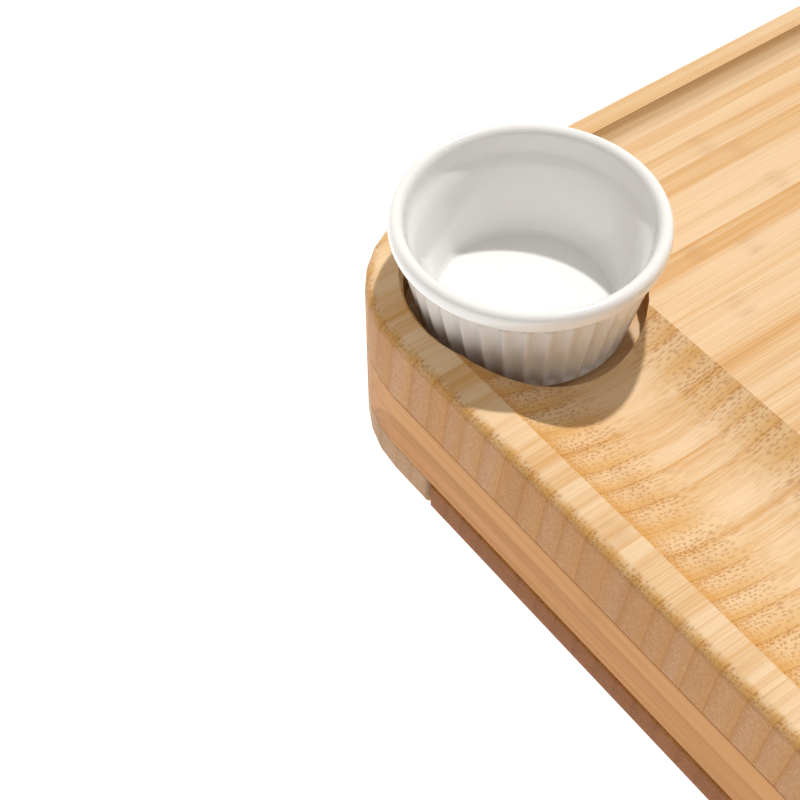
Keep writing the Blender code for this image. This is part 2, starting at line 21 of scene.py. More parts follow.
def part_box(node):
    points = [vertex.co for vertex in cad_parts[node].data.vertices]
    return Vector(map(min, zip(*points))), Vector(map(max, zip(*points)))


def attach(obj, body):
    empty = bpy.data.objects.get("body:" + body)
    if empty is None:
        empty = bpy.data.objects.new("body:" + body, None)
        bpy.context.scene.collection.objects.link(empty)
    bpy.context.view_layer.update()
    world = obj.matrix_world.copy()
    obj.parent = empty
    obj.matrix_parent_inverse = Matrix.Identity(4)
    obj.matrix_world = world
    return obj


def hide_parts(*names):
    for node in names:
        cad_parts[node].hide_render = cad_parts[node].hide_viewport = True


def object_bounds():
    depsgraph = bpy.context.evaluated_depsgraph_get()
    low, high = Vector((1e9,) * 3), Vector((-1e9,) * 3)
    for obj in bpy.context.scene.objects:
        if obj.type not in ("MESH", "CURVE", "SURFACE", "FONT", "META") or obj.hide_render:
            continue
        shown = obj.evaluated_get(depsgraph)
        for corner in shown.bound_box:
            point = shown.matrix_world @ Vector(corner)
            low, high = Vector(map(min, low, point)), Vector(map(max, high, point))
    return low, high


LOG = logging.getLogger("chip_and_dip_server")
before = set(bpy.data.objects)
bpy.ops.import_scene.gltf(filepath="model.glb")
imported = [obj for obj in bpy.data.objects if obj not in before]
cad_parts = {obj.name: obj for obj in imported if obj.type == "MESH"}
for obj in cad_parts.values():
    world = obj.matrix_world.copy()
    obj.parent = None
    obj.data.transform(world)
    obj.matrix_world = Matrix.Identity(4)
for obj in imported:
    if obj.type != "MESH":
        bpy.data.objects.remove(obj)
CAD_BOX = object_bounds()
WELD_DISTANCE = 0.000005
CAD_SHARP_ANGLE = 20.0
MILLIMETRE = 0.001
ON_AXIS = 1e-7

Colour = tuple[float, float, float]
Scales = tuple[float, float, float]
Place = tuple[float, float, float]
Point = tuple[float, float]
Span = tuple[float, float]
Socket = bpy.types.NodeSocket
Value = Union[float, Socket]


class Grain(Enum):
    """The way the fibres of a bamboo piece run."""

    ALONG_BOARD = "X"
    ACROSS_BOARD = "Y"


class End(Enum):
    """The two ends of the board, with the sign of their X."""

    LEFT = ("left", -1)
    RIGHT = ("right", 1)


class Row(Enum):
    """The two long sides of the board, with the sign of their Y."""

    FRONT = ("front", -1)
    BACK = ("back", 1)


# ---------------------------------------------------------------- shader graph
class Graph:
    """Adds and links the nodes of one material."""

    def __init__(self, name: str) -> None:
        """Start a material.

        Args:
            name: The material's name.
        """
        self.material = bpy.data.materials.new(name)
        self.material.use_nodes = True
        self.tree = self.material.node_tree
        self.shader = self.tree.nodes["Principled BSDF"]

    def node(self, kind: str, **settings: object) -> bpy.types.Node:
        """Add a node.

        Args:
            kind: The node's type without its ShaderNode prefix.
            **settings: Properties to set on the node.

        Returns:
            The new node.
        """
        item = self.tree.nodes.new("ShaderNode" + kind)
        for key, value in settings.items():
            setattr(item, key, value)
        return item

    def feed(self, target: Socket, value: object) -> None:
        """Link a socket to the target, or set a plain value on it.

        Args:
            target: The socket that is fed.
            value: Another socket, or a plain value.
        """
        if isinstance(value, bpy.types.NodeSocket):
            self.tree.links.new(value, target)
        else:
            target.default_value = value

    def math(self, operation: str, first: Value, second: Value = 0.0, third: Value = 0.0,
             clamp: bool = False) -> Socket:
        """Add a math node.

        Args:
            operation: The node's operation.
            first: First operand.
            second: Second operand.
            third: Third operand, for the operations that have one.
            clamp: Whether the result is kept between 0 and 1.

        Returns:
            The result's socket.
        """
        item = self.node("Math", operation=operation, use_clamp=clamp)
        for socket, value in zip(item.inputs, (first, second, third)):
            self.feed(socket, value)
        return item.outputs[0]

    def smooth_step(self, value: Value, low: Value, high: Value, start: float = 0.0,
                    end: float = 1.0) -> Socket:
        """Ease from one number to another while a value goes through a range.

        Args:
            value: The value.
            low: Where the range begins.
            high: Where the range ends.
            start: Result up to the beginning.
            end: Result from the end on.

        Returns:
            The eased result's socket.
        """
        item = self.node("MapRange", interpolation_type='SMOOTHSTEP')
        for key, given in (("Value", value), ("From Min", low), ("From Max", high),
                           ("To Min", start), ("To Max", end)):
            self.feed(item.inputs[key], given)
        return item.outputs["Result"]

    def blend(self, share: Value, first: object, second: object, kind: str = 'MIX') -> Socket:
        """Mix two colours.

        Args:
            share: How much of the second colour there is.
            first: First colour or its socket.
            second: Second colour or its socket.
            kind: The way they are blended.

        Returns:
            The mixed colour's socket.
        """
        item = self.node("Mix", data_type='RGBA', blend_type=kind)
        item.clamp_factor = True
        self.feed(item.inputs["Factor"], share)
        for key, given in (("A", first), ("B", second)):
            socket = [s for s in item.inputs if s.name == key and s.type == 'RGBA'][0]
            self.feed(socket, (*given, 1.0) if isinstance(given, tuple) else given)
        return [s for s in item.outputs if s.type == 'RGBA'][0]

    def combine(self, x: Value, y: Value, z: Value) -> Socket:
        """Make a vector of three values.

        Args:
            x: First component.
            y: Second component.
            z: Third component.

        Returns:
            The vector's socket.
        """
        item = self.node("CombineXYZ")
        for socket, value in zip(item.inputs, (x, y, z)):
            self.feed(socket, value)
        return item.outputs[0]

    def noise(self, vector: Socket, scale: float = 1.0, detail: float = 2.0,
              roughness: float = 0.5) -> bpy.types.Node:
        """Add a three-dimensional noise texture.

        Args:
            vector: Where it is looked up.
            scale: Its scale.
            detail: Its number of finer layers.
            roughness: How strong the finer layers are.

        Returns:
            The texture's node.
        """
        item = self.node("TexNoise")
        for key, given in (("Vector", vector), ("Scale", scale), ("Detail", detail),
                           ("Roughness", roughness)):
            self.feed(item.inputs[key], given)
        return item

    def place(self) -> tuple[Socket, Socket, Socket, Socket]:
        """Find the piece's own coordinates.

        Returns:
            Sockets of the place as a vector and of its X, Y and Z.
        """
        vector = self.node("TexCoord").outputs["Object"]
        parts = self.node("SeparateXYZ")
        self.feed(parts.inputs[0], vector)
        return vector, parts.outputs[0], parts.outputs[1], parts.outputs[2]

    def bump(self, height: Value, distance: float, strength: float = 1.0) -> None:
        """Raise the surface.

        Args:
            height: Height at each place, 0 to 1.
            distance: How far a height of 1 stands out, in metres.
            strength: How much of it shows.
        """
        item = self.node("Bump")
        item.inputs["Strength"].default_value = strength
        item.inputs["Distance"].default_value = distance
        self.feed(item.inputs["Height"], height)
        self.feed(self.shader.inputs["Normal"], item.outputs[0])


# ---------------------------------------------------------------- finishes
@dataclass(frozen=True)
class Bamboo:
    """Oiled bamboo made of strips on edge, with its fibres as lines through the solid.

    Each strip is dense and golden towards the culm's skin and smooth and pale towards its
    inside. The fibre bundles are dots where the surface cuts across them, worm-like ripples
    on an upright cut and streaks where the surface runs along them. A surface's cut is 0
    where it runs along the fibres and 1 where it is square across them.
    """

    name: str
    grain: Grain
    pale: Colour
    cream: Colour
    honey: Colour
    dark: Colour
    end_tint: Colour
    seed: float = 0.0
    roughness: float = 0.50
    specular: float = 0.16
    rough_fibre: float = 0.10
    rough_mark: float = 0.10
    relief_depth: float = 0.00006
    relief_strength: float = 0.8
    relief_fibre: float = 0.35
    relief_mark: float = 0.65
    relief_ripple: float = 0.8
    # strips
    strip: float = 0.00675
    strip_wander: float = 0.7
    strip_wander_scale: float = 55.0
    turned_share: float = 0.16
    lean: float = 0.13
    lean_range: float = 0.5
    lean_scale: float = 9.0
    lean_level: float = 0.0507
    seam_edge: Span = (0.004, 0.030)
    seam_strength: Span = (0.10, 0.42)
    seam_least: float = 0.45
    seam_luck: float = 0.6
    # fibre bundles
    column: float = 0.00104
    row: float = 0.00066
    column_power: float = 0.72
    column_wander: float = 1.3
    row_wander: float = 3.0
    column_jump: float = 17.0
    row_luck: float = 7.0
    scatter: float = 0.62
    bundle_reach: float = 0.31
    bundle_shrink: float = 0.10
    bundle_edge: float = 0.11
    dot_contrast: float = 0.58
    dot_on_flat: float = 0.20
    dot_lost_inward: float = 0.55
    dot_lost_upright: float = 0.72
    # colour between the bundles
    skin_edge: Span = (0.0, 0.26)
    heart_edge: Span = (0.35, 1.0)
    skin_honey: float = 0.48
    fibre_honey: float = 0.16
    golden_slope: float = 0.44
    golden_luck: float = 0.30
    face_skin: float = 0.20
    face_luck: float = 0.16
    # streaks and ripples
    wander_scales: Scales = (24.0, 120.0, 120.0)
    fibre_scales: Scales = (22.0, 2600.0, 2600.0)
    band_scales: Scales = (5.0, 300.0, 300.0)
    fibre_step: Span = (0.34, 0.68)
    band_step: Span = (0.36, 0.68)
    streak_base: float = -0.34
    streak_band: float = 0.42
    streak_fibre: float = 0.26
    streak_skin: float = 0.22
    streak_luck: float = 0.50
    ripple_scale: float = 900.0
    ripple_edge: Span = (0.015, 0.085)
    ripple_contrast: float = 0.26
    # cuts over which an effect comes in
    dot_cut: Span = (0.06, 0.32)
    no_dot_cut: Span = (0.86, 0.985)
    seam_cut: Span = (0.05, 0.50)
    cross_cut: Span = (0.05, 0.40)
    golden_cut: Span = (0.42, 0.60)
    upright_cut: Span = (0.80, 0.985)
    # marks of the culm's joints
    joint_spacing: float = 0.24
    joint_reach: float = 0.020
    joint_strength: float = 0.26
    joint_fibre: float = 0.30
    joint_luck: float = 5.0

    def build(self) -> bpy.types.Material:
        """Make the material.

        Returns:
            The finished material.
        """
        g = Graph(self.name)
        _, x, y, z = g.place()
        lengthwise = self.grain is Grain.ALONG_BOARD
        along, across = (x, y) if lengthwise else (y, x)
        facing = g.node("SeparateXYZ")
        g.feed(facing.inputs[0], g.node("TexCoord").outputs["Normal"])
        cut = g.math('ABSOLUTE', facing.outputs[0 if lengthwise else 1])

        place = (g.math('ADD', along, self.seed), across, z)
        shift = g.node("SeparateColor")
        g.feed(shift.inputs[0], self.scaled_noise(g, place, self.wander_scales, 1.0).outputs["Color"])
        number, within = self.strips(g, across, z)
        draw = g.node("TexWhiteNoise", noise_dimensions='1D')
        g.feed(draw.inputs["W"], g.math('ADD', number, self.seed))
        luck = g.node("SeparateColor")
        g.feed(luck.inputs[0], draw.outputs["Color"])
        turned = g.math('GREATER_THAN', draw.outputs["Value"], 1.0 - self.turned_share)
        inward = g.math('ABSOLUTE', g.math('SUBTRACT', within, turned))
        fibre = g.smooth_step(self.scaled_noise(g, place, self.fibre_scales, 2.0).outputs[0],
                              *self.fibre_step)
        band = g.smooth_step(self.scaled_noise(g, place, self.band_scales, 3.0).outputs[0],
                             *self.band_step)

        mark = self.bundle_marks(g, cut, inward, self.bundles(g, number, inward, z, shift, luck))
        upright = g.smooth_step(cut, *self.no_dot_cut)
        ripple = self.ripples(g, across, z, shift)
        hollow = g.math('MULTIPLY', g.math('SUBTRACT', 1.0, ripple), upright)
        wood = self.ground(g, cut, inward, band, fibre, luck)
        for share in (g.math('MULTIPLY', mark, self.dot_contrast),
                      g.math('MULTIPLY', hollow, self.ripple_contrast),
                      self.joint_marks(g, along, luck, fibre),
                      self.seams(g, cut, within, luck)):
            wood = g.blend(share, wood, self.dark)

        g.feed(g.shader.inputs["Base Color"], wood)
        g.feed(g.shader.inputs["Roughness"], g.math(
            'MULTIPLY_ADD', fibre, self.rough_fibre,
            g.math('MULTIPLY_ADD', mark, self.rough_mark, self.roughness - self.rough_fibre / 2)))
        g.shader.inputs["Specular IOR Level"].default_value = self.specular
        relief = g.math('SUBTRACT', g.math('MULTIPLY', fibre, self.relief_fibre),
                        g.math('MULTIPLY', mark, self.relief_mark))
        raised = g.math('MULTIPLY_ADD', g.math('MULTIPLY', ripple, upright), self.relief_ripple, relief)
        g.bump(raised, self.relief_depth, self.relief_strength)
        return g.material

    def strips(self, g: Graph, across: Socket, up: Socket) -> tuple[Socket, Socket]:
        """Divide the wood into leaning strips of uneven width.

        Args:
            g: The material's graph.
            across: Place across the fibres.
            up: Height.

        Returns:
            Sockets of the strip's number and of the place across the strip, 0 to 1.
        """
        depth = g.math('SUBTRACT', self.lean_level, up)
        sway = g.noise(g.combine(g.math('MULTIPLY', across, self.lean_scale), 0.0, self.seed))
        tilt = g.math('MULTIPLY', depth, g.math('MULTIPLY_ADD', sway.outputs[0], self.lean_range,
                                                self.lean - self.lean_range / 2))
        leaned = g.math('SUBTRACT', across, tilt)
        uneven = g.noise(g.combine(g.math('MULTIPLY', leaned, self.strip_wander_scale), self.seed, 0.0),
                         detail=0.0)
        place = g.math('MULTIPLY_ADD', leaned, -1.0 / self.strip,
                       g.math('MULTIPLY', uneven.outputs[0], self.strip_wander))
        return g.math('FLOOR', place), g.math('FRACT', place)

    def ground(self, g: Graph, cut: Socket, inward: Socket, band: Socket, fibre: Socket,
               luck: bpy.types.Node) -> Socket:
        """Colour of the wood between its fibre bundles.

        Args:
            g: The material's graph.
            cut: The surface's cut, 0 to 1.
            inward: Distance from the strip's skin side, 0 to 1.
            band: Broad streaks, 0 to 1.
            fibre: Fine streaks, 0 to 1.
            luck: Node with the strip's own random numbers.

        Returns:
            The colour's socket.
        """
        skin = g.smooth_step(inward, *self.skin_edge, 1.0, 0.0)
        heart = g.smooth_step(inward, *self.heart_edge)
        streak = g.math('MULTIPLY_ADD', luck.outputs[1], self.streak_luck, self.streak_base)
        for part, share in ((skin, self.streak_skin), (fibre, self.streak_fibre),
                            (band, self.streak_band)):
            streak = g.math('MULTIPLY_ADD', part, share, streak)
        lengthwise = g.blend(g.math('ADD', streak, 0.0, clamp=True), self.cream, self.honey)
        across = g.blend(heart, self.cream, self.pale)
        across = g.blend(g.math('MULTIPLY', skin, self.skin_honey), across, self.honey)
        across = g.blend(g.math('MULTIPLY', fibre, self.fibre_honey), across, self.honey)
        sloping = g.smooth_step(cut, *self.cross_cut)
        wood = g.blend(sloping, lengthwise, across)
        golden = g.math('MULTIPLY_ADD', g.smooth_step(cut, *self.golden_cut), self.golden_slope,
                        g.math('MULTIPLY', luck.outputs[1], self.golden_luck))
        wood = g.blend(g.math('MULTIPLY', sloping, golden), wood, self.honey)
        uneven = g.math('MULTIPLY_ADD', luck.outputs[0], self.face_luck,
                        g.math('MULTIPLY_ADD', inward, -self.face_skin, self.face_skin))
        face = g.blend(uneven, g.blend(1.0, wood, self.end_tint, 'MULTIPLY'), self.dark)
        return g.blend(g.smooth_step(cut, *self.upright_cut), wood, face)

    @staticmethod
    def scaled_noise(g: Graph, place: tuple[Value, Value, Value], scales: Scales,
                     detail: float) -> bpy.types.Node:
        """Add a noise that is stretched along the fibres.

        Args:
            g: The material's graph.
            place: Place along the fibres, across them and up.
            scales: The noise's scale in each of these directions.
            detail: Its number of finer layers.

        Returns:
            The noise's node.
        """
        scaled = [g.math('MULTIPLY', part, scale) for part, scale in zip(place, scales)]
        return g.noise(g.combine(*scaled), detail=detail)

    def ripples(self, g: Graph, across: Socket, up: Socket, shift: bpy.types.Node) -> Socket:
        """Fine worm-like ripples of an upright cut.

        Args:
            g: The material's graph.
            across: Place across the fibres.
            up: Height.
            shift: Node whose colour changes slowly along the fibres.

        Returns:
            Socket that is 1 on a ripple and 0 between them.
        """
        noise = g.noise(g.combine(g.math('MULTIPLY', across, self.ripple_scale),
                                  g.math('MULTIPLY', up, self.ripple_scale), shift.outputs[2]), detail=1.0)
        ridge = g.math('ABSOLUTE', g.math('SUBTRACT', noise.outputs[0], 0.5))
        return g.smooth_step(ridge, *self.ripple_edge, 1.0, 0.0)

    def bundles(self, g: Graph, number: Socket, inward: Socket, up: Socket, shift: bpy.types.Node,
                luck: bpy.types.Node) -> Socket:
        """Fibre bundles across the grain, closer together towards the strip's skin.

        Args:
            g: The material's graph.
            number: The strip's number.
            inward: Distance from the strip's skin side, 0 to 1.
            up: Height.
            shift: Node whose colour moves the bundles about.
            luck: Node with the strip's own random numbers.

        Returns:
            Socket that is 1 inside a bundle and 0 outside.
        """
        columns = g.math('MULTIPLY_ADD', g.math('POWER', inward, self.column_power),
                         self.strip / self.column, g.math('MULTIPLY', number, self.column_jump))
        columns = g.math('MULTIPLY_ADD', shift.outputs[0], self.column_wander, columns)
        rows = g.math('MULTIPLY_ADD', up, 1.0 / self.row,
                      g.math('MULTIPLY', luck.outputs[0], self.row_luck))
        rows = g.math('MULTIPLY_ADD', shift.outputs[1], self.row_wander, rows)
        rows = g.math('MULTIPLY_ADD', g.math('FLOOR', g.math('ADD', columns, 0.5)), 0.5, rows)
        cells = g.node("TexVoronoi", voronoi_dimensions='2D', feature='F1')
        g.feed(cells.inputs["Vector"], g.combine(columns, rows, 0.0))
        cells.inputs["Scale"].default_value = 1.0
        cells.inputs["Randomness"].default_value = self.scatter
        reach = g.math('MULTIPLY_ADD', inward, -self.bundle_shrink, self.bundle_reach)
        return g.smooth_step(cells.outputs["Distance"], g.math('SUBTRACT', reach, self.bundle_edge),
                             g.math('ADD', reach, self.bundle_edge), 1.0, 0.0)

    def bundle_marks(self, g: Graph, cut: Socket, inward: Socket, dots: Socket) -> Socket:
        """How strongly the fibre bundles show.

        Args:
            g: The material's graph.
            cut: The surface's cut, 0 to 1.
            inward: Distance from the strip's skin side, 0 to 1.
            dots: 1 inside a bundle and 0 outside.

        Returns:
            Socket with the strength, 0 to 1.
        """
        kept = g.math('MULTIPLY_ADD', inward, -self.dot_lost_inward, 1.0)
        sloping = g.math('MULTIPLY_ADD', g.smooth_step(cut, *self.dot_cut), 1.0 - self.dot_on_flat,
                         self.dot_on_flat)
        upright = g.math('MULTIPLY_ADD', g.smooth_step(cut, *self.no_dot_cut), -self.dot_lost_upright, 1.0)
        return g.math('MULTIPLY', g.math('MULTIPLY', dots, kept), g.math('MULTIPLY', sloping, upright))

    def joint_marks(self, g: Graph, along: Socket, luck: bpy.types.Node, fibre: Socket) -> Socket:
        """Dark smudges where the culm's joints cross a strip.

        Args:
            g: The material's graph.
            along: Place along the fibres.
            luck: Node with the strip's own random numbers.
            fibre: Fine streaks, 0 to 1.

        Returns:
            Socket with how dark the smudge is, 0 to 1.
        """
        span = g.math('MULTIPLY_ADD', along, 1.0 / self.joint_spacing,
                      g.math('MULTIPLY', luck.outputs[0], self.joint_luck))
        off = g.math('ABSOLUTE', g.math('SUBTRACT', g.math('FRACT', span), 0.5))
        smudge = g.smooth_step(off, 0.0, self.joint_reach, 1.0, 0.0)
        return g.math('MULTIPLY', smudge, g.math('MULTIPLY_ADD', fibre, -self.joint_fibre,
                                                 self.joint_strength, clamp=True))

    def seams(self, g: Graph, cut: Socket, within: Socket, luck: bpy.types.Node) -> Socket:
        """Glue lines between the strips.

        Args:
            g: The material's graph.
            cut: The surface's cut, 0 to 1.
            within: Place across the strip, 0 to 1.
            luck: Node with the strip's own random numbers.

        Returns:
            Socket with how dark the line is, 0 to 1.
        """
        nearest = g.math('MINIMUM', within, g.math('SUBTRACT', 1.0, within))
        line = g.smooth_step(nearest, *self.seam_edge, 1.0, 0.0)
        strength = g.smooth_step(cut, *self.seam_cut, *self.seam_strength)
        return g.math('MULTIPLY', line, g.math(
            'MULTIPLY', strength,
            g.math('MULTIPLY_ADD', luck.outputs[2], self.seam_luck, self.seam_least)))


@dataclass(frozen=True)
class GlazedCeramic:
    """Thick white glaze, a little uneven in tone and roughness, with small flecks."""

    name: str
    white: Colour = (0.88, 0.876, 0.872)
    shade: Colour = (0.86, 0.855, 0.845)
    fleck: Colour = (0.70, 0.66, 0.60)
    roughness: float = 0.07
    refraction: float = 1.52
    coat: float = 0.6
    coat_roughness: float = 0.04
    roughness_range: float = 0.06
    pooling_scale: float = 38.0
    pooling_edge: Span = (0.35, 0.75)
    fleck_scale: float = 900.0
    fleck_edge: Span = (0.74, 0.80)
    fleck_share: float = 0.25
    wave_scale: float = 120.0
    wave_depth: float = 0.00012
    wave_strength: float = 0.5

    def build(self) -> bpy.types.Material:
        """Make the material.

        Returns:
            The finished material.
        """
        g = Graph(self.name)
        vector, _, _, _ = g.place()
        pooling = g.noise(vector, self.pooling_scale, 3.0)
        flecks = g.noise(vector, self.fleck_scale, 1.0)
        tone = g.blend(g.smooth_step(pooling.outputs[0], *self.pooling_edge), self.white, self.shade)
        share = g.smooth_step(flecks.outputs[0], *self.fleck_edge, 0.0, self.fleck_share)
        g.feed(g.shader.inputs["Base Color"], g.blend(share, tone, self.fleck))
        g.feed(g.shader.inputs["Roughness"], g.math(
            'MULTIPLY_ADD', pooling.outputs[0], self.roughness_range,
            self.roughness - self.roughness_range / 2))
        g.shader.inputs["IOR"].default_value = self.refraction
        g.shader.inputs["Coat Weight"].default_value = self.coat
        g.shader.inputs["Coat Roughness"].default_value = self.coat_roughness
        waves = g.noise(vector, self.wave_scale, 2.0)
        g.bump(waves.outputs[0], self.wave_depth, self.wave_strength)
        return g.material


@dataclass(frozen=True)
class Rubber:
    """Matt moulded rubber with a fine grain."""

    name: str
    tone: Colour = (0.045, 0.045, 0.048)
    worn: Colour = (0.11, 0.11, 0.11)
    grain_scale: float = 2600.0
    scuff_scale: float = 240.0
    scuff_edge: Span = (0.42, 0.70)
    worn_height: Span = (0.0001, 0.0012)
    wear_all_over: float = 0.3
    wear_below: float = 0.5
    roughness: float = 0.66
    roughness_range: float = 0.2
    grain_depth: float = 0.00008
    grain_strength: float = 0.7

    def build(self) -> bpy.types.Material:
        """Make the material.

        Returns:
            The finished material.
        """
        g = Graph(self.name)
        vector, _, _, z = g.place()
        grain = g.noise(vector, self.grain_scale, 3.0)
        scuffs = g.noise(vector, self.scuff_scale, 4.0)
        low = g.smooth_step(z, *self.worn_height, 1.0, 0.0)
        wear = g.math('MULTIPLY', g.smooth_step(scuffs.outputs[0], *self.scuff_edge),
                      g.math('MULTIPLY_ADD', low, self.wear_below, self.wear_all_over))
        g.feed(g.shader.inputs["Base Color"], g.blend(wear, self.tone, self.worn))
        g.feed(g.shader.inputs["Roughness"], g.math(
            'MULTIPLY_ADD', grain.outputs[0], self.roughness_range, self.roughness))
        g.bump(grain.outputs[0], self.grain_depth, self.grain_strength)
        return g.material


@dataclass(frozen=True)
class PlatedSteel:
    """Nickel plate on a disc magnet, turned and lightly scratched."""

    name: str
    bright: Colour = (0.68, 0.68, 0.70)
    dull: Colour = (0.44, 0.43, 0.43)
    scratch_scale: float = 3200.0
    stain_scale: float = 420.0
    stain_edge: Span = (0.45, 0.72)
    roughness: float = 0.16
    roughness_range: float = 0.22
    scratch_depth: float = 0.00001
    scratch_strength: float = 0.6

    def build(self) -> bpy.types.Material:
        """Make the material.

        Returns:
            The finished material.
        """
        g = Graph(self.name)
        vector, _, _, _ = g.place()
        scratches = g.noise(vector, self.scratch_scale, 4.0, 0.7)
        stains = g.noise(vector, self.stain_scale, 3.0)
        stain = g.smooth_step(stains.outputs[0], *self.stain_edge)
        g.feed(g.shader.inputs["Base Color"], g.blend(stain, self.bright, self.dull))
        g.feed(g.shader.inputs["Roughness"], g.math(
            'MULTIPLY_ADD', scratches.outputs[0], self.roughness_range, self.roughness))
        g.shader.inputs["Metallic"].default_value = 1.0
        g.bump(scratches.outputs[0], self.scratch_depth, self.scratch_strength)
        return g.material


@dataclass(frozen=True)
class PaleFloor:
    """Plain pale paper under the board."""

    name: str
    tone: Colour = (0.24, 0.24, 0.24)
    tooth: Colour = (0.16, 0.16, 0.16)
    tooth_scale: float = 700.0
    tooth_share: float = 0.05
    glow: float = 1.15
    roughness: float = 0.9
    specular: float = 0.1

    def build(self) -> bpy.types.Material:
        """Make the material.

        Returns:
            The finished material.
        """
        g = Graph(self.name)
        vector, _, _, _ = g.place()
        grain = g.noise(vector, self.tooth_scale, 2.0)
        g.feed(g.shader.inputs["Base Color"], g.blend(
            g.math('MULTIPLY', grain.outputs[0], self.tooth_share), self.tone, self.tooth))
        g.shader.inputs["Roughness"].default_value = self.roughness
        g.shader.inputs["Specular IOR Level"].default_value = self.specular
        g.shader.inputs["Emission Color"].default_value = (1.0, 1.0, 1.0, 1.0)
        g.shader.inputs["Emission Strength"].default_value = self.glow
        return g.material


# ---------------------------------------------------------------- helpers
def new_object(name: str, bm: bmesh.types.BMesh, material: bpy.types.Material,
               smooth_angle: Optional[float] = 35.0) -> bpy.types.Object:
    """Turn a bmesh into a linked, dressed object.

    Args:
        name: The object's name.
        bm: Its mesh, which is freed.
        material: Its finish.
        smooth_angle: Degrees over which an edge stays sharp, or None for flat faces.

    Returns:
        The new object.
    """
    mesh = bpy.data.meshes.new(name)
    bm.to_mesh(mesh)
    bm.free()
    mesh.materials.append(material)
    if smooth_angle is not None:
        mesh.shade_smooth()
        mesh.set_sharp_from_angle(angle=math.radians(smooth_angle))
    item = bpy.data.objects.new(name, mesh)
    bpy.context.scene.collection.objects.link(item)
    LOG.info("built %s with %d faces", name, len(mesh.polygons))
    return item


def dress(node: str, material: bpy.types.Material) -> None:
    """Give a CAD node its finish, and shade its round faces smoothly.

    Args:
        node: The CAD node's name.
        material: Its finish.
    """
    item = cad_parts[node]
    own_normals = item.data.attributes.get("custom_normal")
    if own_normals is not None:
        item.data.attributes.remove(own_normals)
    item.data.shade_smooth()
    weld = item.modifiers.new("weld", 'WELD')
    weld.merge_threshold = WELD_DISTANCE
    split = item.modifiers.new("sharp_edges", 'EDGE_SPLIT')
    split.split_angle = math.radians(CAD_SHARP_ANGLE)
    split.use_edge_sharp = False
    if not item.data.materials:
        item.data.materials.append(material)
    for index in range(len(item.data.materials)):
        item.data.materials[index] = material
    LOG.info("dressed %s in %s", node, material.name)


def outline(low: Point, high: Point, radii: Sequence[float], steps: int = 24) -> list[Point]:
    """Plan outline of a rectangle whose corners have their own radii.

    Args:
        low: Lowest X and Y.
        high: Highest X and Y.
        radii: Radii of the corners low-low, high-low, high-high and low-high.
        steps: Steps round each corner.

    Returns:
        The outline's points, in order.
    """
    points: list[Point] = []
    corners = ((low[0], low[1], 1, 1), (high[0], low[1], -1, 1),
               (high[0], high[1], -1, -1), (low[0], high[1], 1, -1))
    for quarter, ((x, y, side_x, side_y), radius) in enumerate(zip(corners, radii)):
        if radius <= 0.0:
            points.append((x, y))
            continue
        for step in range(steps + 1):
            angle = math.radians(180.0 + 90.0 * (quarter + step / steps))
            points.append((x + side_x * radius + radius * math.cos(angle),
                           y + side_y * radius + radius * math.sin(angle)))
    return points


def slab(points: Sequence[Point], low: float, high: float) -> bmesh.types.BMesh:
    """Extrude a plan outline from one height to another.

    Args:
        points: The outline's points, in order.
        low: Lower height.
        high: Upper height.

    Returns:
        The slab's mesh.
    """
    bm = bmesh.new()
    base = bm.faces.new([bm.verts.new((x, y, low)) for x, y in points])
    top = bmesh.ops.extrude_face_region(bm, geom=[base])
    moved = [item for item in top["geom"] if isinstance(item, bmesh.types.BMVert)]
    bmesh.ops.translate(bm, vec=(0.0, 0.0, high - low), verts=moved)
    bmesh.ops.recalc_face_normals(bm, faces=bm.faces)
    return bm


# ---------------------------------------------------------------- the board
@dataclass
class GlueLines:
    """Thin dried glue between the plies and between the core's boards."""

    corner: float = 0.034
    inset: float = 0.00012
    overlap: float = 0.00004
    core_boards: int = 5
    finish: Bamboo = Bamboo("glue_line_finish", Grain.ACROSS_BOARD, pale=(0.40, 0.20, 0.08),
                            cream=(0.46, 0.24, 0.10), honey=(0.32, 0.14, 0.05),
                            dark=(0.16, 0.06, 0.02), end_tint=(0.9, 0.8, 0.74), seed=2.6)

    def build(self) -> None:
        """Build the glue under the top ply, over the rails and in the core's joints."""
        glue = self.finish.build()
        low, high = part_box("top_panel")
        radius = self.corner - self.inset
        first, last = (low.x + self.inset, low.y + self.inset), (high.x - self.inset, high.y - self.inset)
        core_low, core_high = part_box("core_board_1")
        self.layer("glue_under_top", outline(first, last, (radius,) * 4), core_high.z, low.z, glue)
        for row in Row:
            rail_low, rail_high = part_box("base_rail_" + row.value[0])
            front, back = (radius, 0.0) if row is Row.FRONT else (0.0, radius)
            points = outline((rail_low.x + self.inset, rail_low.y + self.inset),
                             (rail_high.x - self.inset, rail_high.y - self.inset),
                             (front, front, back, back))
            self.layer("glue_over_rail_" + row.value[0], points, rail_high.z, core_low.z, glue)
        for number in range(1, self.core_boards):
            near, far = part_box("core_board_%d" % number)[1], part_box("core_board_%d" % (number + 1))[0]
            points = outline((near.x - self.overlap, first[1]), (far.x + self.overlap, last[1]), (0.0,) * 4)
            self.layer("glue_joint_%d" % number, points, far.z, near.z, glue)

    def layer(self, name: str, points: Sequence[Point], low: float, high: float,
              glue: bpy.types.Material) -> None:
        """Build one layer of glue, which rides on the board.

        Args:
            name: The piece's name.
            points: Its plan outline.
            low: Height of the wood below it.
            high: Height of the wood above it.
            glue: Its finish.
        """
        piece = new_object(name, slab(points, low - self.overlap, high + self.overlap), glue)
        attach(piece, "board")


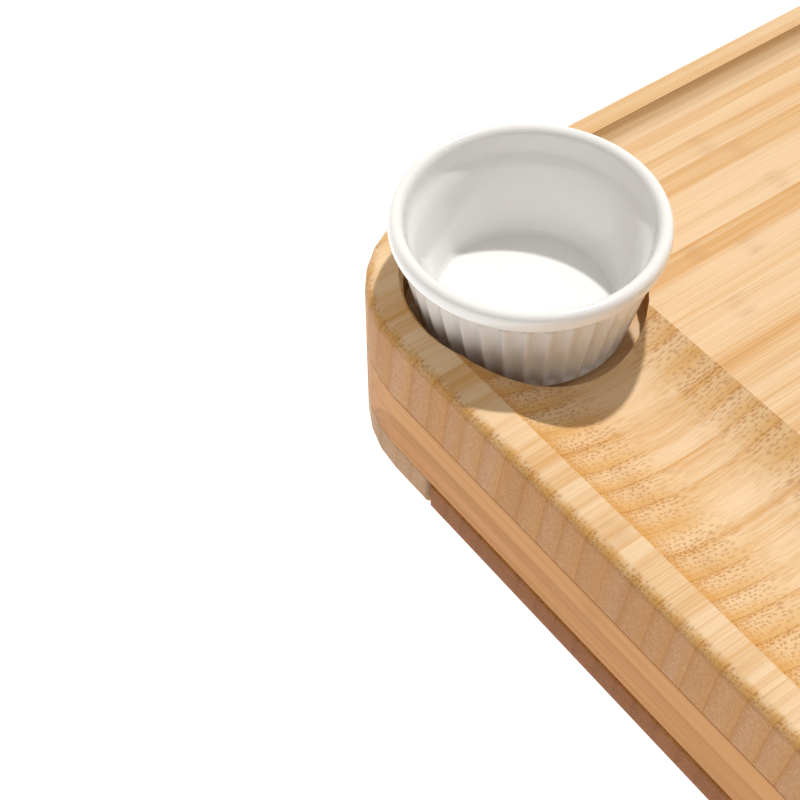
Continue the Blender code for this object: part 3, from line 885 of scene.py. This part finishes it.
@dataclass
class Board:
    """The three plies of the board and its feet."""

    core_boards: int = 5
    panel: Bamboo = Bamboo("bamboo_panel_finish", Grain.ALONG_BOARD, pale=(0.68, 0.420, 0.175),
                           cream=(0.76, 0.550, 0.330), honey=(0.60, 0.290, 0.060),
                           dark=(0.34, 0.115, 0.012), end_tint=(0.95, 0.91, 1.05))
    core: Bamboo = Bamboo("bamboo_core_finish", Grain.ACROSS_BOARD, pale=(0.59, 0.275, 0.085),
                          cream=(0.66, 0.33, 0.120), honey=(0.46, 0.180, 0.042),
                          dark=(0.17, 0.05, 0.012), end_tint=(0.9, 0.8, 0.74), seed=3.7)
    base: Bamboo = Bamboo("bamboo_base_finish", Grain.ALONG_BOARD, pale=(0.66, 0.49, 0.32),
                          cream=(0.77, 0.61, 0.43), honey=(0.58, 0.37, 0.18),
                          dark=(0.30, 0.13, 0.04), end_tint=(0.92, 0.84, 0.82),
                          lean_level=0.013, seed=8.3)

    def dress(self) -> None:
        """Dress the plies, the bridge and the feet."""
        dress("top_panel", self.panel.build())
        core = self.core.build()
        for number in range(1, self.core_boards + 1):
            dress("core_board_%d" % number, core)
        base = self.base.build()
        for node in ("base_rail_front", "base_rail_back", "base_bridge"):
            dress(node, base)
        rubber = Rubber("foot_rubber_finish").build()
        for end in End:
            for row in Row:
                dress("foot_%s_%s" % (end.value[0], row.value[0]), rubber)


@dataclass
class Drawers:
    """The two cutlery drawers with their runners and catch magnets."""

    tray: Bamboo = Bamboo("bamboo_drawer_finish", Grain.ALONG_BOARD, pale=(0.46, 0.19, 0.042),
                          cream=(0.56, 0.26, 0.072), honey=(0.37, 0.135, 0.022),
                          dark=(0.16, 0.045, 0.006), end_tint=(0.84, 0.74, 0.68),
                          lean_level=0.012, seed=5.1)
    runner: Bamboo = Bamboo("bamboo_runner_finish", Grain.ALONG_BOARD, pale=(0.66, 0.46, 0.26),
                            cream=(0.78, 0.58, 0.38), honey=(0.60, 0.36, 0.16),
                            dark=(0.28, 0.11, 0.03), end_tint=(0.9, 0.8, 0.74), seed=1.9)

    def dress(self) -> None:
        """Dress the trays, runners and magnets."""
        tray, runner = self.tray.build(), self.runner.build()
        steel = PlatedSteel("magnet_steel_finish").build()
        for end in End:
            dress("drawer_%s_tray" % end.value[0], tray)
            for row in Row:
                place = "%s_%s" % (end.value[0], row.value[0])
                dress("runner_" + place, runner)
                dress("bridge_magnet_" + place, steel)
                dress("drawer_%s_magnet_%s" % (end.value[0], row.value[0]), steel)


# ---------------------------------------------------------------- ramekins
@dataclass
class Ramekins:
    """Four fluted ramekins, each turned finely and then pressed with flutes.

    The profiles are (radius, height) points in millimetres from the middle of the foot,
    joined by smooth curves: one from the inner floor over the rim to the band's lower edge
    and one down the fluted body to the middle of the foot.
    """

    flutes: int = 36
    steps_per_flute: int = 8
    steps_per_span: int = 4
    flute_depth: float = 0.00130
    mouth: tuple[Point, ...] = (
        (0.00, 5.18), (11.78, 5.20), (18.85, 5.28), (20.52, 5.40), (21.21, 5.84), (22.09, 7.42),
        (23.66, 14.22), (25.04, 19.71), (26.02, 22.86), (26.90, 24.69), (27.69, 26.11),
        (28.23, 27.63), (28.57, 29.16), (28.96, 30.68), (29.65, 31.64), (30.63, 32.00),
        (31.57, 31.75), (32.15, 31.03), (32.40, 30.07), (32.37, 28.65), (32.13, 27.63),
        (31.52, 27.14), (31.02, 26.92), (30.73, 26.67))
    body: tuple[Point, ...] = (
        (30.73, 26.67), (30.61, 26.01), (30.30, 24.79), (29.55, 21.74), (28.33, 16.46),
        (26.75, 9.75), (25.43, 3.45), (24.94, 1.52), (24.35, 0.56), (23.47, 0.05), (22.19, 0.00),
        (21.50, 0.36), (20.81, 0.81), (18.65, 0.91), (9.82, 0.91), (0.00, 0.91))
    flute_top: float = 0.0266
    flute_full: float = 0.0243
    flute_foot: float = 0.0012
    flute_fade: float = 0.0012
    flute_roundness: float = 1.9
    fluted_radius: float = 0.0230
    glaze: GlazedCeramic = GlazedCeramic("glazed_ceramic_finish")

    def build(self) -> None:
        """Build a ramekin in each pocket, in place of its CAD node."""
        glaze = self.glaze.build()
        for end in End:
            for row in Row:
                place = "ramekin_%s_%s" % (end.value[0], row.value[0])
                dress(place, glaze)
                low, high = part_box(place)
                pot = new_object(place + "_pot", self.turn(), glaze, None)
                pot.data.shade_smooth()
                pot.location = ((low.x + high.x) / 2, (low.y + high.y) / 2, low.z)
                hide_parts(place)
                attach(pot, place)

    def curve(self, points: Sequence[Point]) -> list[Point]:
        """Join points by a smooth curve.

        Args:
            points: Points the curve passes through, in millimetres.

        Returns:
            The curve's own points in metres.
        """
        padded = [points[0], *points, points[-1]]
        result: list[Point] = []
        for before, start, stop, after in zip(padded, padded[1:], padded[2:], padded[3:]):
            for step in range(self.steps_per_span):
                t = step / self.steps_per_span
                result.append(tuple(0.5 * MILLIMETRE * (
                    2 * start[axis] + (stop[axis] - before[axis]) * t
                    + (2 * before[axis] - 5 * start[axis] + 4 * stop[axis] - after[axis]) * t * t
                    + (3 * start[axis] - before[axis] - 3 * stop[axis] + after[axis]) * t ** 3)
                    for axis in (0, 1)))
        result.append((points[-1][0] * MILLIMETRE, points[-1][1] * MILLIMETRE))
        return result

    def flute(self, height: float, share: float) -> float:
        """How far a flute presses the body in.

        Args:
            height: Height over the foot.
            share: Place across the flute, 0 and 1 being its ribs.

        Returns:
            The depth in metres.
        """
        rise = min(max((self.flute_top - height) / (self.flute_top - self.flute_full), 0.0), 1.0)
        fall = min(max((height - self.flute_foot) / self.flute_fade, 0.0), 1.0)
        hollow = 1.0 - abs(2.0 * share - 1.0) ** self.flute_roundness
        return self.flute_depth * hollow * rise * rise * (3 - 2 * rise) * fall

    def turn(self) -> bmesh.types.BMesh:
        """Turn the profiles about the ramekin's middle and press the flutes in.

        Returns:
            The ramekin's mesh, standing on its foot.
        """
        upper, lower = self.curve(self.mouth), self.curve(self.body)
        profile = [(*point, False) for point in upper] + [(*point, True) for point in lower[1:]]
        around = self.flutes * self.steps_per_flute
        bm = bmesh.new()
        rings: list[list[bmesh.types.BMVert]] = []
        for radius, height, fluted in profile:
            if radius < ON_AXIS:
                rings.append([bm.verts.new((0.0, 0.0, height))])
                continue
            ring = []
            for step in range(around):
                angle = 2 * math.pi * step / around
                pressed = 0.0
                if fluted and radius > self.fluted_radius:
                    pressed = self.flute(height, (step % self.steps_per_flute) / self.steps_per_flute)
                reach = radius - pressed
                ring.append(bm.verts.new((reach * math.cos(angle), reach * math.sin(angle), height)))
            rings.append(ring)
        for first, second in zip(rings, rings[1:]):
            for step in range(around):
                after = (step + 1) % around
                if len(first) == 1:
                    bm.faces.new((first[0], second[step], second[after]))
                elif len(second) == 1:
                    bm.faces.new((first[step], second[0], first[after]))
                else:
                    bm.faces.new((first[step], second[step], second[after], first[after]))
        bmesh.ops.recalc_face_normals(bm, faces=bm.faces)
        return bm


# ---------------------------------------------------------------- stage
@dataclass
class Studio:
    """Floor, lights and camera."""

    floor_size: float = 12.0
    floor_gap: float = 0.0002
    sun_colour: Colour = (1.0, 0.98, 0.955)
    sun_azimuth: float = 31.0
    sun_elevation: float = 60.0
    sun_softness: float = 2.5
    sun_strength: float = 2.62
    sky_colour: Colour = (1.0, 0.945, 0.875)
    sky_strength: float = 0.50
    lens: float = 78.92
    sensor: float = 36.0
    clip: Span = (0.01, 50.0)
    eye_from_corner: Place = (-0.15557, -0.25107, 0.29412)
    azimuth: float = -35.95
    elevation: float = 49.69
    roll: float = -0.74

    def build(self) -> None:
        """Build the floor, the lights and the camera."""
        self.floor()
        self.lights()
        self.camera()

    def floor(self) -> None:
        """A plain pale sheet under the board."""
        bm = bmesh.new()
        bmesh.ops.create_grid(bm, x_segments=8, y_segments=8, size=self.floor_size / 2)
        sheet = new_object("floor_sheet", bm, PaleFloor("pale_floor").build(), None)
        sheet.location.z = CAD_BOX[0][2] - self.floor_gap

    def lights(self) -> None:
        """One soft-edged key light and an even sky."""
        lamp = bpy.data.lights.new("key_light", 'SUN')
        lamp.energy = self.sun_strength
        lamp.angle = math.radians(self.sun_softness)
        lamp.color = self.sun_colour
        key = bpy.data.objects.new("key_light", lamp)
        azimuth, elevation = math.radians(self.sun_azimuth), math.radians(self.sun_elevation)
        towards = Vector((math.cos(azimuth) * math.cos(elevation),
                          math.sin(azimuth) * math.cos(elevation), math.sin(elevation)))
        key.rotation_euler = towards.to_track_quat('Z', 'Y').to_euler()
        bpy.context.scene.collection.objects.link(key)
        world = bpy.data.worlds.new("studio_sky")
        world.use_nodes = True
        sky = world.node_tree.nodes["Background"]
        sky.inputs["Color"].default_value = (*self.sky_colour, 1.0)
        sky.inputs["Strength"].default_value = self.sky_strength
        bpy.context.scene.world = world
        bpy.context.scene.view_settings.view_transform = 'Standard'

    def camera(self) -> None:
        """A camera that looks down on the back left corner of the board."""
        lens = bpy.data.cameras.new("camera")
        lens.lens, lens.sensor_width = self.lens, self.sensor
        lens.clip_start, lens.clip_end = self.clip
        item = bpy.data.objects.new("camera", lens)
        low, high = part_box("top_panel")
        eye = Vector((low.x, high.y, high.z)) + Vector(self.eye_from_corner)
        turn = (Matrix.Rotation(math.radians(self.azimuth), 4, 'Z')
                @ Matrix.Rotation(math.radians(90.0 - self.elevation), 4, 'X')
                @ Matrix.Rotation(math.radians(self.roll), 4, 'Z'))
        item.matrix_world = Matrix.Translation(eye) @ turn
        bpy.context.scene.collection.objects.link(item)
        bpy.context.scene.camera = item


def main() -> None:
    """Build and dress every piece."""
    logging.basicConfig(level=logging.INFO, format="%(name)s: %(message)s")
    Studio().build()
    Board().dress()
    GlueLines().build()
    Drawers().dress()
    Ramekins().build()


if __name__ == "__main__":
    main()
